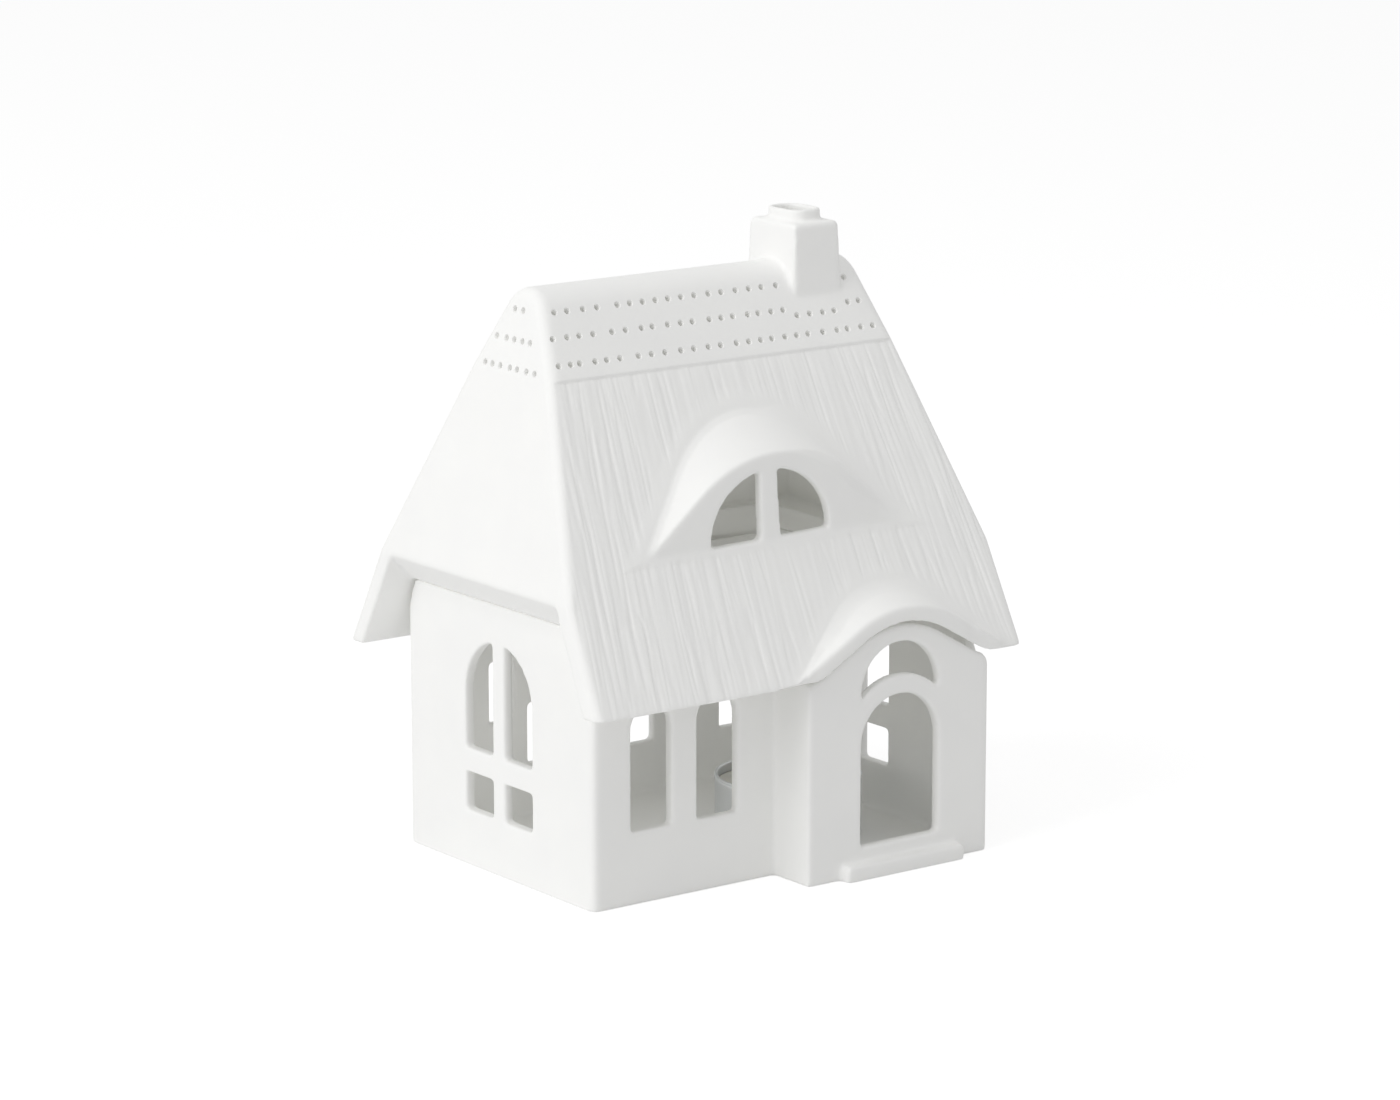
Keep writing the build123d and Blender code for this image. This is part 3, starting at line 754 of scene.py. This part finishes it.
class TEALIGHTHOUSE_OT_stage(Operator):
    """Lays the floor and sets the lights and the camera"""

    bl_idname = "tealighthouse.stage"
    bl_label = "Stage"

    def execute(self, context):
        settings = context.scene.tealight_stage
        scene = context.scene
        lay_floor()
        light_world(scene, settings)
        back = Vector((
            math.sin(settings.azimuth) * math.cos(settings.elevation),
            -math.cos(settings.azimuth) * math.cos(settings.elevation),
            math.sin(settings.elevation),
        ))
        camera_data = bpy.data.cameras.new("Camera")
        camera_data.lens = settings.lens
        camera_data.sensor_width = 36.0
        camera_data.sensor_fit = "HORIZONTAL"
        camera_data.clip_start = 0.05
        camera_data.clip_end = 50.0
        camera = bpy.data.objects.new("Camera", camera_data)
        camera.location = Vector(settings.target) + back * settings.distance
        camera.rotation_mode = "QUATERNION"
        camera.rotation_quaternion = (-back).to_track_quat("-Z", "Y")
        scene.collection.objects.link(camera)
        scene.camera = camera
        scene.view_settings.view_transform = "Standard"
        # Light goes back and forth many times between the white walls of a room
        scene.cycles.max_bounces = 24
        scene.cycles.diffuse_bounces = 16
        return {"FINISHED"}


def lay_floor():
    """A wide pale floor under the house."""
    mesh = bpy.data.meshes.new("floor")
    corners = [(x * FLOOR_REACH, y * FLOOR_REACH, 0) for x, y in ((-1, -1), (1, -1), (1, 1), (-1, 1))]
    mesh.from_pydata(corners, [], [(0, 1, 2, 3)])
    floor = bpy.data.objects.new("floor", mesh)
    bpy.context.scene.collection.objects.link(floor)
    material = bpy.data.materials.new("Pale paper sweep")
    material.use_nodes = True
    tree = material.node_tree
    tree.nodes.clear()
    # To the camera the paper is half as strong with white added, so that it is white in the open and
    # still keeps a faint shadow of the house.
    seen = add_node(tree, "ShaderNodeLightPath").outputs["Is Camera Ray"]
    tone = add_node(
        tree, "ShaderNodeMix", settings={"data_type": "RGBA"},
        inputs={"A": linear("#f2f2f2"), "B": linear("#b4b4b4")}, links={"Factor": seen},
    )
    paper = add_node(tree, "ShaderNodeBsdfDiffuse", links={"Color": tone.outputs["Result"]})
    level = add_node(
        tree, "ShaderNodeMath", settings={"operation": "MULTIPLY"}, inputs={1: 0.685}, links={0: seen}
    )
    white = add_node(
        tree, "ShaderNodeEmission", inputs={"Color": linear("#ffffff")}, links={"Strength": level.outputs[0]}
    )
    both = add_node(tree, "ShaderNodeAddShader", links={0: paper.outputs[0], 1: white.outputs[0]})
    add_node(tree, "ShaderNodeOutputMaterial", links={"Surface": both.outputs[0]})
    mesh.materials.append(material)


def light_world(scene, settings):
    """An even light all round, white to the camera, with a key lamp at the left, a lamp above and a
    faint glow in the room."""
    world = bpy.data.worlds.new("Studio")
    world.use_nodes = True
    tree = world.node_tree
    tree.nodes.clear()
    around = add_node(
        tree, "ShaderNodeBackground",
        inputs={"Color": linear("#ffffff"), "Strength": settings.fill_level},
    )
    white = add_node(tree, "ShaderNodeBackground", inputs={"Color": linear("#fefefe"), "Strength": 1.0})
    path = add_node(tree, "ShaderNodeLightPath")
    seen = path.outputs["Is Camera Ray"]
    for kind in ("Is Glossy Ray", "Is Transmission Ray"):
        seen = add_node(
            tree, "ShaderNodeMath", settings={"operation": "MAXIMUM"}, links={0: seen, 1: path.outputs[kind]}
        ).outputs[0]
    mixed = add_node(
        tree, "ShaderNodeMixShader", links={"Fac": seen, 1: around.outputs[0], 2: white.outputs[0]}
    )
    add_node(tree, "ShaderNodeOutputWorld", links={"Surface": mixed.outputs[0]})
    scene.world = world
    hang_lamp(scene, "Key", *KEY_LAMP, settings.key_power)
    hang_lamp(scene, "Top", *TOP_LAMP, settings.top_power)
    # Stands for the light that real porcelain, thin as a shell, lets into the rooms
    glow_data = bpy.data.lights.new("Glow", "POINT")
    glow_data.energy = settings.glow_power
    glow_data.shadow_soft_size = GLOW_RADIUS
    glow = bpy.data.objects.new("Glow", glow_data)
    glow.location = GLOW_PLACE
    glow.visible_camera = False
    scene.collection.objects.link(glow)


def hang_lamp(scene, name, place, target, size, power):
    """A soft rectangular lamp that the camera doesn't see."""
    lamp_data = bpy.data.lights.new(name, "AREA")
    lamp_data.shape = "RECTANGLE"
    lamp_data.size, lamp_data.size_y = size
    lamp_data.energy = power
    lamp = bpy.data.objects.new(name, lamp_data)
    lamp.location = place
    lamp.rotation_mode = "QUATERNION"
    lamp.rotation_quaternion = (Vector(target) - Vector(place)).to_track_quat("-Z", "Y")
    lamp.visible_camera = False
    scene.collection.objects.link(lamp)


class TEALIGHTHOUSE_PT_panel(Panel):
    """The steps of the model, in order"""

    bl_idname = "TEALIGHTHOUSE_PT_panel"
    bl_label = "Tealight House"
    bl_space_type = "VIEW_3D"
    bl_region_type = "UI"
    bl_category = "Tealight House"

    def draw(self, context):
        layout = self.layout
        for name in HouseSettings.__annotations__:
            layout.prop(context.scene.tealight_house, name)
        for name in StageSettings.__annotations__:
            layout.prop(context.scene.tealight_stage, name)
        for step in STEPS:
            layout.operator(step.bl_idname)


STEPS = (TEALIGHTHOUSE_OT_body, TEALIGHTHOUSE_OT_roof, TEALIGHTHOUSE_OT_tealight, TEALIGHTHOUSE_OT_stage)
CLASSES = (HouseSettings, StageSettings, *STEPS, TEALIGHTHOUSE_PT_panel)


def register():
    for item in CLASSES:
        bpy.utils.register_class(item)
    bpy.types.Scene.tealight_house = PointerProperty(type=HouseSettings)
    bpy.types.Scene.tealight_stage = PointerProperty(type=StageSettings)


def unregister():
    del bpy.types.Scene.tealight_stage
    del bpy.types.Scene.tealight_house
    for item in reversed(CLASSES):
        bpy.utils.unregister_class(item)


def main():
    register()
    bpy.ops.tealighthouse.body()
    bpy.ops.tealighthouse.roof()
    bpy.ops.tealighthouse.tealight()
    bpy.ops.tealighthouse.stage()


if __name__ == "__main__":
    main()
